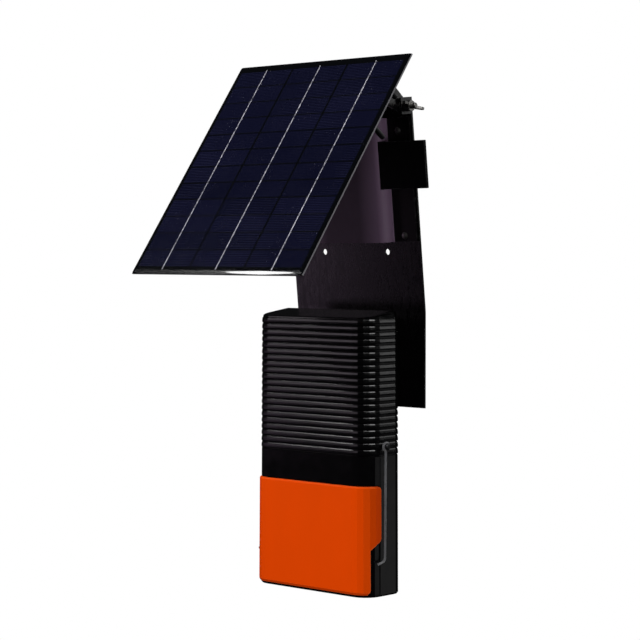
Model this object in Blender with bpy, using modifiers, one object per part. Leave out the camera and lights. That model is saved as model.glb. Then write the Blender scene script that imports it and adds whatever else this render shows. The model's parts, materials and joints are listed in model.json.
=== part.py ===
"""Fence energizer on a bent mounting plate, with a tilting solar panel above it.

World frame: X is the width, -Y is the front, +Z is up. The origin is on the rear face
of the mounting plate, at the middle of its upright part.
"""

import math

import bmesh
import bpy

MM = 0.001
GAP = 0.3 * MM
MERGE = 0.00001

# Mounting plate: an upright part and an upper part that leans forward.
PLATE_WIDTH = 180 * MM
PLATE_THICKNESS = 2 * MM
PLATE_HALF_HEIGHT = 50 * MM
LEAN = math.radians(6)
LEAN_LENGTH = 221 * MM
FIXING_HOLE_RADIUS = 3.3 * MM
FIXING_HOLE_X = 44.5 * MM
FIXING_HOLE_RISE = 62 * MM

# Channel on the leaning part, and the bar that runs through it.
CHANNEL_WIDTH = 112 * MM
CHANNEL_DEPTH = 18 * MM
CHANNEL_BEND = 8.5 * MM
FLANGE_BEND = 3.5 * MM
CHANNEL_FLANGE = 32 * MM
CHANNEL_BOTTOM = 73 * MM
CHANNEL_TOP = 201 * MM
BAR_HALF_LENGTH = 115.5 * MM
BAR_BOTTOM = 128.2 * MM
BAR_TOP = 177 * MM
BAR_THICKNESS = 3.5 * MM

# Panel hinge, in the leaning frame: forward of the rear face, and up from the bend.
HINGE_FORWARD = 10.5 * MM
HINGE_RISE = 212 * MM
EAR_THICKNESS = 2 * MM
ARM_THICKNESS = 2 * MM
ARM_END_RADIUS = 8 * MM
BOLT_RADIUS = 2.9 * MM
BOLT_CLEARANCE = 0.35 * MM

# Solar panel, in the frame of its hinge: X, up the slope, and out of the face.
PANEL_TILT = math.radians(54.1)
PANEL_WIDTH = 240 * MM
PANEL_LENGTH = 271 * MM
PANEL_CENTRE_SLOPE = -110.4 * MM
PANEL_FACE_HEIGHT = 50.7 * MM
FACE_THICKNESS = 0.7 * MM
BACKING_THICKNESS = 1.6 * MM
RAIL_X = 91.5 * MM
RAIL_WIDTH = 19 * MM
RAIL_DEPTH = 12 * MM
RAIL_BOLT_SLOPES = (-4 * MM, -48.6 * MM)
RAIL_BOLT_ENDS = (18.5 * MM, 9.5 * MM)

# Case.
CASE_TOP_HALF_WIDTH = 80 * MM
CASE_FRONT = -80.3 * MM
CASE_BACK = -29 * MM
CASE_DRAFT = 1.5 / 278
FRONT_DRAFT = 0.9 / 278
CASE_CORNER = 20 * MM
REAR_CORNER = 6 * MM
CASE_BOTTOM = -239.5 * MM
RIB_TOP = 43.1 * MM
RIB_PITCH = 6.6 * MM
RIB_COUNT = 21
RIB_DEPTH = 1.2 * MM
RIB_SHAPE = ((1.2, 0.45), (3.2, 0.08), (4.8, 0), (5.9, 0.25))
WALL = 3.2 * MM
SEAM_FRONT = -36.6 * MM
SEAM_BACK = -35 * MM
TOP_SLOPE = 6.3 * MM

# Terminal bay and its cover.
BAY_TOP = -125.6 * MM
BAY_BOTTOM = -237 * MM
BAY_WALL_FRONT = -60.2 * MM
BAY_WALL_BACK = -57.5 * MM
SKIRT_TOP = -176 * MM
SKIRT_INSET = -1.15 * MM
SKIRT_INSIDE_X = 72.4 * MM
COVER_TOP = -126.3 * MM
COVER_BOTTOM = -236.7 * MM
COVER_PROUD = 1.6 * MM
COVER_INSET = -0.8 * MM
COVER_REAR_EDGE = -60.9 * MM
COVER_NOTCH_EDGE = -73.2 * MM
COVER_NOTCH_TOP = -185 * MM
COVER_AXIS_Y = -78.2 * MM
COVER_AXIS_Z = -133.5 * MM
KNUCKLE_X = (56.2 * MM, 60.2 * MM)
LUG_X = (52.9 * MM, 55.9 * MM)

# Wire latches on the case's sides.
LATCH_X = 84.7 * MM
LATCH_Y = -56 * MM
LATCH_Z = -86 * MM
WIRE_RADIUS = 1.3 * MM
EYE_RADIUS = 4 * MM
SHANK_LENGTH = 113 * MM
HOOK_RADIUS = 4.5 * MM

# Inside the case.
BATTERY_SIZE = (60 * MM, 34 * MM, 134 * MM)
BATTERY_CENTRE = (-36.5 * MM, -58 * MM, -50 * MM)
BOARD_SIZE = (70 * MM, 1.6 * MM, 140 * MM)
BOARD_CENTRE = (37 * MM, -44.8 * MM, -50 * MM)
CORE_CENTRE = (36 * MM, -60.8 * MM, -5 * MM)
CAPACITOR_CENTRE = (36 * MM, -60.5 * MM, -74 * MM)
TERMINAL_X = 40 * MM
TERMINAL_Z = -182 * MM
SWITCH_Z = -172 * MM
SWITCH_TILT = math.radians(6)
LENS_Z = -146 * MM
GLAND_X = 30 * MM
GLAND_Z = -205 * MM
HOUSING_SCREW_PLACES = (
    (-71.5 * MM, 28 * MM),
    (71.5 * MM, 28 * MM),
    (-71.5 * MM, -229 * MM),
    (71.5 * MM, -229 * MM),
)

# Bracket between the case and the plate.
STANDOFF_WIDTH = 92 * MM
STANDOFF_FLANGE = 16 * MM
STANDOFF_HALF_HEIGHT = 46 * MM
CASE_SCREW_PLACES = ((-54 * MM, 0), (54 * MM, 0))


def clear_scene():
    for obj in list(bpy.data.objects):
        bpy.data.objects.remove(obj, do_unlink=True)


def new_collection(name, helper=False):
    collection = bpy.data.collections.new(name)
    collection.hide_render = helper
    bpy.context.scene.collection.children.link(collection)
    return collection


def material(name, colour, roughness, metallic=0.0):
    made = bpy.data.materials.new(name)
    made.use_nodes = True
    shader = made.node_tree.nodes["Principled BSDF"]
    shader.inputs["Base Color"].default_value = (*colour, 1)
    shader.inputs["Roughness"].default_value = roughness
    shader.inputs["Metallic"].default_value = metallic
    return made


clear_scene()
PARTS = new_collection("fence_energizer")
CUTTERS = new_collection("cutters", helper=True)

BLACK_STEEL = material("black_powder_coat", (0.012, 0.012, 0.014), 0.45, 0.3)
BLACK_PLASTIC = material("black_plastic", (0.010, 0.010, 0.011), 0.4)
ORANGE_PLASTIC = material("orange_plastic", (0.72, 0.07, 0.003), 0.4)
ZINC = material("zinc_plated_steel", (0.55, 0.55, 0.53), 0.32, 1.0)
STAINLESS = material("stainless_wire", (0.30, 0.30, 0.31), 0.35, 1.0)
CELL_BLUE = material("solar_cells", (0.004, 0.005, 0.02), 0.15)
BACKING_GREY = material("panel_backing", (0.45, 0.45, 0.44), 0.5)
ALUMINIUM = material("aluminium", (0.5, 0.5, 0.5), 0.4, 1.0)
RUBBER = material("black_rubber", (0.02, 0.02, 0.02), 0.85)
BATTERY_GREY = material("battery_grey", (0.08, 0.08, 0.09), 0.6)
STRAP_BLACK = material("strap_black", (0.015, 0.015, 0.015), 0.6)
BOARD_GREEN = material("circuit_board_green", (0.01, 0.12, 0.03), 0.4)
FERRITE = material("ferrite", (0.03, 0.03, 0.03), 0.7)
COPPER = material("coil_copper", (0.45, 0.16, 0.06), 0.35, 0.8)
CAPACITOR_BLUE = material("capacitor_sleeve", (0.02, 0.05, 0.2), 0.35)
BRASS = material("brass", (0.5, 0.35, 0.12), 0.3, 1.0)
RED_PLASTIC = material("red_plastic", (0.5, 0.01, 0.01), 0.4)
GREEN_PLASTIC = material("green_plastic", (0.01, 0.25, 0.05), 0.4)
LENS_CLEAR = material("indicator_lens", (0.5, 0.02, 0.02), 0.1)


def add(name, data, finish=None, parent=None, place=(0, 0, 0), turn=(0, 0, 0)):
    """Links an object among the parts or, without a finish, among the cutters."""
    obj = bpy.data.objects.new(name, data)
    if finish is None:
        CUTTERS.objects.link(obj)
        obj.hide_render = True
        obj.display_type = "WIRE"
    else:
        PARTS.objects.link(obj)
        data.materials.append(finish)
    obj.parent = parent
    obj.location = place
    obj.rotation_euler = turn
    return obj


def frame(name, place, turn):
    empty = bpy.data.objects.new(name, None)
    bpy.context.scene.collection.objects.link(empty)
    empty.location = place
    empty.rotation_euler = turn
    return empty


def shade_round(mesh, angle=35):
    mesh.shade_smooth()
    mesh.set_sharp_from_angle(angle=math.radians(angle))


def span_box(name, low, high, finish=None, parent=None, bevel=0.0, segments=2):
    """A box between two corners, with its edges rounded where bevel is given."""
    mesh = bpy.data.meshes.new(name)
    shape = bmesh.new()
    bmesh.ops.create_cube(shape, size=1)
    size = [abs(b - a) for a, b in zip(low, high)]
    centre = [(a + b) / 2 for a, b in zip(low, high)]
    bmesh.ops.scale(shape, vec=size, verts=shape.verts)
    shape.to_mesh(mesh)
    shape.free()
    obj = add(name, mesh, finish, parent, centre)
    if bevel:
        rounding = obj.modifiers.new("rounded_edges", "BEVEL")
        rounding.width = bevel
        rounding.segments = segments
    return obj


def rod(name, radius, start, end, axis, across, finish=None, parent=None, sides=16):
    """A cylinder along X, Y or Z (axis 0, 1 or 2), at the two other coordinates."""
    mesh = bpy.data.meshes.new(name)
    shape = bmesh.new()
    bmesh.ops.create_cone(
        shape, cap_ends=True, segments=sides, radius1=radius, radius2=radius,
        depth=abs(end - start),
    )
    turn = ((0, math.pi / 2, 0), (math.pi / 2, 0, 0), (0, 0, 0))[axis]
    shape.to_mesh(mesh)
    shape.free()
    if sides > 6:
        shade_round(mesh)
    place = list(across)
    place.insert(axis, (start + end) / 2)
    return add(name, mesh, finish, parent, place, turn)


def turned(name, profile, finish, parent=None, place=(0, 0, 0), turn=(0, 0, 0), steps=20):
    """Turns (radius, height) points, listed down the outer side, about local Z."""
    mesh = bpy.data.meshes.new(name)
    points = [(radius, 0, height) for radius, height in profile]
    edges = [(i, i + 1) for i in range(len(points) - 1)]
    if profile[0][0] > 0:
        edges.append((len(points) - 1, 0))
    mesh.from_pydata(points, edges, [])
    obj = add(name, mesh, finish, parent, place, turn)
    screw = obj.modifiers.new("turn", "SCREW")
    screw.axis = "Z"
    screw.steps = steps
    screw.render_steps = steps
    screw.use_merge_vertices = True
    screw.merge_threshold = MERGE
    screw.use_smooth_shade = True
    return obj


def bent_sheet(name, section, start, end, thickness, bend, finish, parent=None, axis=2):
    """A sheet-metal strip: an open section swept along an axis, then given thickness.

    For axis 2 the section is in X and Y; for axis 0 it is in Y and Z. The thickness
    grows to the left of the section's direction. A section that already has its
    bends drawn takes a bend of 0.
    """
    mesh = bpy.data.meshes.new(name)
    shape = bmesh.new()
    rows = []
    for height in (start, end):
        if axis == 2:
            rows.append([shape.verts.new((a, b, height)) for a, b in section])
        else:
            rows.append([shape.verts.new((height, a, b)) for a, b in section])
    for i in range(len(section) - 1):
        shape.faces.new((rows[0][i], rows[0][i + 1], rows[1][i + 1], rows[1][i]))
    shape.to_mesh(mesh)
    shape.free()
    obj = add(name, mesh, finish, parent)
    if bend:
        bends = obj.modifiers.new("bends", "BEVEL")
        bends.width = bend
        bends.segments = 3
        bends.angle_limit = math.radians(4)
    wall = obj.modifiers.new("thickness", "SOLIDIFY")
    wall.thickness = thickness
    wall.offset = -1
    return obj


def mesh_from_curve(name, curve, finish, parent, place, turn):
    """Makes a curve's evaluated shape a closed mesh, so that it can be cut or joined."""
    drawn = bpy.data.objects.new(name + "_curve", curve)
    bpy.context.scene.collection.objects.link(drawn)
    drawn.parent = parent
    drawn.location = place
    drawn.rotation_euler = turn
    bpy.context.view_layer.update()
    graph = bpy.context.evaluated_depsgraph_get()
    mesh = bpy.data.meshes.new_from_object(drawn.evaluated_get(graph))
    world = drawn.matrix_world.copy()
    bpy.data.objects.remove(drawn, do_unlink=True)
    shape = bmesh.new()
    shape.from_mesh(mesh)
    bmesh.ops.remove_doubles(shape, verts=shape.verts, dist=MERGE)
    shape.to_mesh(mesh)
    shape.free()
    mesh.materials.clear()
    obj = add(name, mesh, finish)
    obj.matrix_world = world
    return obj


def flat_shape(name, outline, thickness, finish=None, parent=None, place=(0, 0, 0), turn=(0, 0, 0)):
    """A flat plate with this outline in local X and Y, centred on its thickness."""
    curve = bpy.data.curves.new(name, "CURVE")
    curve.dimensions = "2D"
    curve.fill_mode = "BOTH"
    curve.extrude = thickness / 2
    line = curve.splines.new("POLY")
    line.points.add(len(outline) - 1)
    line.use_cyclic_u = True
    for point, (x, y) in zip(line.points, outline):
        point.co = (x, y, 0, 1)
    return mesh_from_curve(name, curve, finish, parent, place, turn)


def arc(centre, radius, start, end, count):
    """Points of an arc, with its angles in degrees."""
    points = []
    for i in range(count + 1):
        angle = math.radians(start + (end - start) * i / count)
        x = centre[0] + radius * math.cos(angle)
        y = centre[1] + radius * math.sin(angle)
        points.append((x, y))
    return points


def change(obj, other, operation):
    modifier = obj.modifiers.new(operation.lower() + "_" + other.name, "BOOLEAN")
    modifier.operation = operation
    modifier.object = other


def cut(obj, *others):
    for other in others:
        change(obj, other, "DIFFERENCE")


def join(obj, *others):
    for other in others:
        change(obj, other, "UNION")


LEANING = frame("leaning_part", (0, 0, PLATE_HALF_HEIGHT), (LEAN, 0, 0))


def from_leaning(forward, rise):
    """World Y and Z of a point given forward of the plate's rear face and up from its bend."""
    y = -forward * math.cos(LEAN) - rise * math.sin(LEAN)
    z = PLATE_HALF_HEIGHT - forward * math.sin(LEAN) + rise * math.cos(LEAN)
    return y, z


HINGE_Y, HINGE_Z = from_leaning(HINGE_FORWARD, HINGE_RISE)
PANEL = frame("panel_pivot", (0, HINGE_Y, HINGE_Z), (PANEL_TILT, 0, 0))
PANEL_SWEEP = frame("panel_sweep", (0, 0, 0), (-math.pi / 2, 0, 0))
PANEL_SWEEP.parent = PANEL
COVER_HINGE = frame("cover_hinge", (0, COVER_AXIS_Y, COVER_AXIS_Z), (0, 0, 0))
SWITCH_PIVOT = frame("switch_pivot", (0, BAY_WALL_FRONT, SWITCH_Z), (SWITCH_TILT, 0, 0))


def make_mount_plate():
    half = PLATE_WIDTH / 2
    top = from_leaning(0, LEAN_LENGTH)
    profile = [(0, -PLATE_HALF_HEIGHT), (0, PLATE_HALF_HEIGHT), top]
    plate = bent_sheet(
        "mount_plate", profile, -half, half, PLATE_THICKNESS, 4 * MM, BLACK_STEEL, axis=0
    )
    for side in (-1, 1):
        label = "left" if side < 0 else "right"
        ear = span_box(
            "ear_" + label,
            (side * half, -(HINGE_FORWARD + 6.5 * MM), HINGE_RISE - 8 * MM),
            (side * (half - EAR_THICKNESS), -0.5 * MM, LEAN_LENGTH - 0.4 * MM),
            parent=LEANING,
        )
        hole = rod(
            "ear_hole_" + label, BOLT_RADIUS + BOLT_CLEARANCE,
            side * (half - 6 * MM), side * (half + 4 * MM), 0,
            (-HINGE_FORWARD, HINGE_RISE), parent=LEANING,
        )
        fixing = rod(
            "fixing_hole_" + label, FIXING_HOLE_RADIUS, -8 * MM, 6 * MM, 1,
            (side * FIXING_HOLE_X, FIXING_HOLE_RISE), parent=LEANING,
        )
        join(plate, ear)
        cut(plate, hole, fixing)
    for index, (x, rise) in enumerate(rivet_places()):
        cut(plate, rod(f"plate_rivet_hole_{index}", 2.3 * MM, -6 * MM, 4 * MM, 1, (x, rise),
                       parent=LEANING, sides=12))


def rivet_places():
    x = CHANNEL_WIDTH / 2 + CHANNEL_FLANGE / 2
    rises = (CHANNEL_BOTTOM + 6 * MM, CHANNEL_TOP - 14 * MM)
    return [(side * x, rise) for side in (-1, 1) for rise in rises]


def make_tilt_channel():
    """A hat section: a raised web, two cheeks and two flanges riveted to the plate."""
    half = CHANNEL_WIDTH / 2
    foot = -(PLATE_THICKNESS + GAP)
    crown = -(CHANNEL_DEPTH - PLATE_THICKNESS)
    edge = half + CHANNEL_FLANGE
    small = FLANGE_BEND
    large = CHANNEL_BEND
    section = [(-edge, foot)]
    section += arc((-half - small, foot - small), small, 90, 0, 3)
    section += arc((-half + large, crown + large), large, 180, 270, 7)
    section += arc((half - large, crown + large), large, 270, 360, 7)
    section += arc((half + small, foot - small), small, 180, 90, 3)
    section.append((edge, foot))
    channel = bent_sheet(
        "tilt_channel", section[::-1], CHANNEL_BOTTOM, CHANNEL_TOP,
        PLATE_THICKNESS, 0, BLACK_STEEL, LEANING,
    )
    slot = span_box(
        "bar_slot",
        (-half - 4 * MM, bar_rear() + 0.4 * MM, BAR_BOTTOM - 0.4 * MM),
        (half + 4 * MM, crown - 0.01 * MM, BAR_TOP + 0.4 * MM),
        parent=LEANING,
    )
    cut(channel, slot)
    for index, (x, rise) in enumerate(rivet_places()):
        cut(channel, rod(f"flange_hole_{index}", 2.3 * MM, -12 * MM, 0, 1, (x, rise),
                         parent=LEANING, sides=12))


def bar_front():
    return -(CHANNEL_DEPTH - PLATE_THICKNESS) + GAP


def bar_rear():
    return bar_front() + BAR_THICKNESS


def make_cross_bar():
    span_box(
        "cross_bar",
        (-BAR_HALF_LENGTH, bar_front(), BAR_BOTTOM),
        (BAR_HALF_LENGTH, bar_rear(), BAR_TOP),
        BLACK_STEEL, LEANING, bevel=0.5 * MM, segments=1,
    )


def make_rivets():
    """Each rivet's head is on the flange, and its clenched end is behind the plate."""
    front = 2 * PLATE_THICKNESS + 2 * GAP
    profile = [
        (0, 1.4 * MM), (2.4 * MM, 1.1 * MM), (4 * MM, 0),
        (2 * MM, 0), (2 * MM, -front - GAP), (3.2 * MM, -front - GAP),
        (2.8 * MM, -front - 1.6 * MM), (0, -front - 1.8 * MM),
    ]
    for index, (x, rise) in enumerate(rivet_places()):
        turned(f"channel_rivet_{index + 1}", profile, ZINC, LEANING,
               (x, -front, rise), (math.pi / 2, 0, 0), steps=12)


def make_panel():
    half = PANEL_WIDTH / 2
    low = PANEL_CENTRE_SLOPE - PANEL_LENGTH / 2
    high = PANEL_CENTRE_SLOPE + PANEL_LENGTH / 2
    face_back = PANEL_FACE_HEIGHT - FACE_THICKNESS
    span_box("panel_cell_sheet", (-half, low, face_back), (half, high, PANEL_FACE_HEIGHT),
             CELL_BLUE, PANEL)
    span_box("panel_backing", (-half, low, backing_rear()), (half, high, face_back - GAP),
             BACKING_GREY, PANEL)


def backing_rear():
    return PANEL_FACE_HEIGHT - FACE_THICKNESS - GAP - BACKING_THICKNESS


def rail_rear():
    return backing_rear() - GAP - RAIL_DEPTH


def make_rails():
    """Two U rails under the panel, open towards it, that carry the bolts."""
    low = PANEL_CENTRE_SLOPE - PANEL_LENGTH / 2 + 12 * MM
    high = PANEL_CENTRE_SLOPE + PANEL_LENGTH / 2 - 12 * MM
    top = backing_rear() - GAP
    for side in (-1, 1):
        label = "left" if side < 0 else "right"
        inner = RAIL_X - RAIL_WIDTH / 2
        outer = RAIL_X + RAIL_WIDTH / 2
        section = [(inner, top), (inner, rail_rear()), (outer, rail_rear()), (outer, top)]
        section = [(side * x, -height) for x, height in section]
        rail = bent_sheet("panel_rail_" + label, section[::-side], low, high, 1.6 * MM, 1 * MM,
                          ALUMINIUM, PANEL_SWEEP)
        for index, slope in enumerate(RAIL_BOLT_SLOPES):
            cut(rail, rod(f"rail_hole_{label}_{index}", BOLT_RADIUS + BOLT_CLEARANCE,
                          rail_rear() - 2 * MM, rail_rear() + 4 * MM, 2,
                          (side * RAIL_X, slope), parent=PANEL, sides=12))


def make_panel_bracket():
    """A base plate over both rails, with an arm at each end that goes to the hinge."""
    top = rail_rear() - GAP
    rear = top - 2 * MM
    bracket = span_box(
        "panel_bracket", (-99 * MM, -66 * MM, rear), (99 * MM, 14 * MM, top), BLACK_STEEL, PANEL
    )
    outline = arc((0, 0), ARM_END_RADIUS, 180, 360, 8)
    outline += [(9.5 * MM, top - 0.5 * MM), (-19 * MM, top - 0.5 * MM)]
    for side in (-1, 1):
        label = "left" if side < 0 else "right"
        arm = flat_shape(
            "arm_" + label, outline, ARM_THICKNESS, parent=PANEL,
            place=(side * arm_x(), 0, 0), turn=(math.pi / 2, 0, math.pi / 2),
        )
        join(bracket, arm)
        cut(bracket, rod("arm_hole_" + label, BOLT_RADIUS + BOLT_CLEARANCE,
                         side * 78 * MM, side * 92 * MM, 0, (0, 0), parent=PANEL))
        for index, slope in enumerate(RAIL_BOLT_SLOPES):
            cut(bracket, rod(f"base_hole_{label}_{index}", BOLT_RADIUS + BOLT_CLEARANCE,
                             rear - 3 * MM, top + 3 * MM, 2, (side * RAIL_X, slope),
                             parent=PANEL, sides=12))


def arm_x():
    return PLATE_WIDTH / 2 - EAR_THICKNESS - 2 * GAP - 1.5 * MM - ARM_THICKNESS / 2


def make_rail_fasteners():
    nut_top = rail_rear() - 2 * GAP - 2 * MM
    head = rail_rear() + 1.6 * MM + GAP
    places = [(side, index) for side in (-1, 1) for index in (0, 1)]
    for number, (side, index) in enumerate(places, 1):
        place = (side * RAIL_X, RAIL_BOLT_SLOPES[index], 0)
        tip = RAIL_BOLT_ENDS[index]
        profile = [
            (0, head + 4 * MM), (4.6 * MM, head + 4 * MM), (5 * MM, head + 3.4 * MM),
            (5 * MM, head), (BOLT_RADIUS, head), (BOLT_RADIUS, tip + 0.8 * MM),
            (2.2 * MM, tip), (0, tip),
        ]
        turned(f"rail_bolt_{number}", profile, ZINC, PANEL, place, steps=12)
        nut = rod(f"rail_nut_{number}", 5.6 * MM, nut_top - 5 * MM, nut_top, 2, place[:2], ZINC,
                  PANEL, sides=6)
        cut(nut, rod(f"nut_bore_{number}", BOLT_RADIUS + BOLT_CLEARANCE, nut_top - 8 * MM,
                     nut_top + 3 * MM, 2, place[:2], parent=PANEL, sides=12))


def make_junction_box():
    top = backing_rear() - GAP
    floor = top - 17 * MM
    low = (-36 * MM, -134 * MM)
    high = (36 * MM, -84 * MM)
    box = span_box("junction_box", (*low, floor), (*high, top), BLACK_PLASTIC, PANEL)
    inside = span_box("junction_box_inside", (low[0] + 2 * MM, low[1] + 2 * MM, floor - 1 * MM),
                      (high[0] - 2 * MM, high[1] - 2 * MM, top - 2 * MM), parent=PANEL)
    outlet = rod("junction_box_outlet", 4 * MM, low[1] - 4 * MM, low[1] + 6 * MM, 1,
                 (0, floor + 8 * MM), parent=PANEL)
    cut(box, inside, outlet)
    span_box("junction_box_lid", (*low, floor - GAP - 2 * MM), (*high, floor - GAP),
             BLACK_PLASTIC, PANEL, bevel=0.8 * MM)


def make_hinge():
    half = PLATE_WIDTH / 2
    arm_inside = arm_x() - ARM_THICKNESS / 2
    for side in (-1, 1):
        label = "left" if side < 0 else "right"
        turn = (0, side * math.pi / 2, 0)
        place = (0, HINGE_Y, HINGE_Z)
        head = arm_inside - GAP
        end = half + 14 * MM
        bolt = [
            (0, end), (2.2 * MM, end), (BOLT_RADIUS, end - 0.8 * MM),
            (BOLT_RADIUS, head), (5.4 * MM, head), (5.4 * MM, head - 3.6 * MM),
            (4.8 * MM, head - 4 * MM), (0, head - 4 * MM),
        ]
        turned("hinge_bolt_" + label, bolt, ZINC, None, place, turn, steps=12)
        inner = arm_x() + ARM_THICKNESS / 2 + GAP
        bore = BOLT_RADIUS + BOLT_CLEARANCE
        outer = inner + 1.5 * MM
        washer = [(bore, outer), (6.5 * MM, outer), (6.5 * MM, inner), (bore, inner)]
        turned("hinge_washer_" + label, washer, ZINC, None, place, turn, steps=16)
        make_wing_nut(side, label)


def make_wing_nut(side, label):
    start = PLATE_WIDTH / 2 + GAP
    nut = rod("wing_nut_" + label, 5.5 * MM, side * start, side * (start + 8 * MM), 0,
              (HINGE_Y, HINGE_Z), ZINC, sides=16)
    wing = [(3 * MM, 0.8 * MM), (7 * MM, 2 * MM), (15.5 * MM, 8.6 * MM)]
    wing += [(15 * MM, 12 * MM), (11 * MM, 12.4 * MM), (3 * MM, 7 * MM)]
    outline = wing + [(-x, y) for x, y in reversed(wing)]
    wings = flat_shape(
        "wings_" + label, outline, 2.4 * MM, place=(side * start, HINGE_Y, HINGE_Z),
        turn=(0, math.radians(-10), -side * math.pi / 2),
    )
    bore = rod("wing_nut_bore_" + label, BOLT_RADIUS + BOLT_CLEARANCE, side * (start - 2 * MM),
               side * (start + 16 * MM), 0, (HINGE_Y, HINGE_Z), sides=12)
    join(nut, wings)
    cut(nut, bore)


def half_width_at(z):
    return CASE_TOP_HALF_WIDTH + CASE_DRAFT * (40 * MM - z)


def front_at(z):
    return CASE_FRONT - FRONT_DRAFT * (40 * MM - z)


def case_ring(z, grow, back=CASE_BACK, tilt=0.0, segments=5):
    """The case's rounded outline at a height, moved out by grow; tilt raises its rear."""
    half = half_width_at(z) + grow
    front = front_at(z) - grow
    rear = back + grow
    corner = CASE_CORNER + grow
    small = max(REAR_CORNER + grow, 1 * MM)
    ring = []
    ring += arc((half - corner, front + corner), corner, -90, 0, segments)
    ring += arc((half - small, rear - small), small, 0, 90, 2)
    ring += arc((-half + small, rear - small), small, 90, 180, 2)
    ring += arc((-half + corner, front + corner), corner, 180, 270, segments)
    depth = rear - front
    return [(x, y, z + tilt * (y - front) / depth) for x, y in ring]


def loft(name, rings, finish=None):
    """A closed solid through like rings, listed from the top down."""
    mesh = bpy.data.meshes.new(name)
    shape = bmesh.new()
    rows = [[shape.verts.new(point) for point in ring] for ring in rings]
    count = len(rows[0])
    for upper, lower in zip(rows, rows[1:]):
        for i in range(count):
            j = (i + 1) % count
            shape.faces.new((upper[i], lower[i], lower[j]))
            shape.faces.new((upper[i], lower[j], upper[j]))
    shape.faces.new(rows[0])
    shape.faces.new(rows[-1][::-1])
    bmesh.ops.recalc_face_normals(shape, faces=shape.faces)
    shape.to_mesh(mesh)
    shape.free()
    shade_round(mesh, 30)
    return add(name, mesh, finish)


def ribbed_rings():
    rings = [
        case_ring(RIB_TOP + 2.1 * MM, -6 * MM, tilt=TOP_SLOPE),
        case_ring(RIB_TOP + 1.8 * MM, -3 * MM, tilt=TOP_SLOPE),
        case_ring(RIB_TOP + 0.8 * MM, -1.4 * MM, tilt=0.85 * TOP_SLOPE),
    ]
    for index in range(RIB_COUNT):
        top = RIB_TOP - index * RIB_PITCH
        rings.append(case_ring(top, -RIB_DEPTH))
        for drop, inset in RIB_SHAPE:
            rings.append(case_ring(top - drop * MM, -inset * MM))
    band = RIB_TOP - RIB_COUNT * RIB_PITCH
    rings.append(case_ring(band, -RIB_DEPTH))
    rings.append(case_ring(band - 0.8 * MM, -0.4 * MM))
    rings.append(case_ring(CASE_BOTTOM + 2 * MM, -0.4 * MM))
    rings.append(case_ring(CASE_BOTTOM, -2 * MM))
    return rings


def plain_loft(name, top, bottom, grow, back=CASE_BACK):
    return loft(name, [case_ring(top, grow, back), case_ring(bottom, grow, back)])


def behind(name, y, far):
    return span_box(name, (-0.15, y, -0.3), (0.15, far, 0.12))


def make_housing_front():
    housing = loft("housing_front", ribbed_rings(), BLACK_PLASTIC)
    cut(housing, behind("behind_front_shell", SEAM_FRONT, 0.1))
    cut(housing, plain_loft("front_cavity", 41 * MM, BAY_TOP + 3.1 * MM, -WALL, -20 * MM))
    cut(housing, span_box("lower_cavity", (-77.5 * MM, BAY_WALL_BACK, CASE_BOTTOM + 3 * MM),
                          (77.5 * MM, -20 * MM, BAY_TOP + 6 * MM)))
    cut(housing, span_box("bay", (-0.1, -0.1, SKIRT_TOP), (0.1, BAY_WALL_FRONT, BAY_TOP)))
    cut_skirted_bay(housing)
    add_screw_posts(housing)
    add_cover_lugs(housing)
    add_bay_holes(housing)
    for side in (-1, 1):
        cut(housing, rod(f"latch_hole_{side}", 2.7 * MM, side * 70 * MM, side * 95 * MM, 0,
                         (LATCH_Y, LATCH_Z), sides=12))


def cut_skirted_bay(housing):
    """Below its upper part the bay keeps a skirt at each side, inside the cover's notch."""
    inside = span_box("bay_inside", (-SKIRT_INSIDE_X, -0.1, BAY_BOTTOM),
                      (SKIRT_INSIDE_X, BAY_WALL_FRONT, SKIRT_TOP + 1 * MM))
    around = span_box("bay_around", (-0.1, -0.1, BAY_BOTTOM),
                      (0.1, BAY_WALL_FRONT, SKIRT_TOP + 1 * MM))
    cut(around, plain_loft("skirt_outline", -150 * MM, -260 * MM, SKIRT_INSET))
    cut(housing, inside, around)


def add_screw_posts(housing):
    for index, (x, z) in enumerate(HOUSING_SCREW_PLACES):
        front = -66 * MM if z > 0 else BAY_WALL_BACK - 1 * MM
        join(housing, rod(f"post_{index}", 6.5 * MM, front, SEAM_FRONT - 0.6 * MM, 1, (x, z), sides=12))
        cut(housing, rod(f"post_bore_{index}", 1.5 * MM, -53 * MM, -30 * MM, 1, (x, z), sides=10))


def add_cover_lugs(housing):
    """Two lugs reach forward from the bay's wall to the cover's hinge pins."""
    low, high = LUG_X
    reach = BAY_WALL_FRONT + 1 * MM - COVER_AXIS_Y
    outline = arc((0, 0), 1.6 * MM, 90, 270, 6)
    outline += [(4 * MM, -1.6 * MM), (reach, -9 * MM), (reach, 1.6 * MM)]
    for side in (-1, 1):
        lug = flat_shape(
            f"lug_{side}", outline, high - low,
            place=(side * (low + high) / 2, COVER_AXIS_Y, COVER_AXIS_Z),
            turn=(math.pi / 2, 0, math.pi / 2),
        )
        join(housing, lug)
        cut(housing, rod(f"lug_hole_{side}", 1.15 * MM, side * (low - 2 * MM), side * (high + 2 * MM),
                         0, (COVER_AXIS_Y, COVER_AXIS_Z), sides=8))


def add_bay_holes(housing):
    for x in (-TERMINAL_X, TERMINAL_X):
        cut(housing, rod(f"stud_hole_{x:.2f}", 3.35 * MM, -66 * MM, -50 * MM, 1, (x, TERMINAL_Z),
                         sides=12))
    cut(housing, rod("lens_hole", 3.35 * MM, -66 * MM, -50 * MM, 1, (0, LENS_Z), sides=12))
    cut(housing, span_box("switch_hole", (-8.8 * MM, -66 * MM, SWITCH_Z - 12.8 * MM),
                          (8.8 * MM, -50 * MM, SWITCH_Z + 12.8 * MM)))


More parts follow.
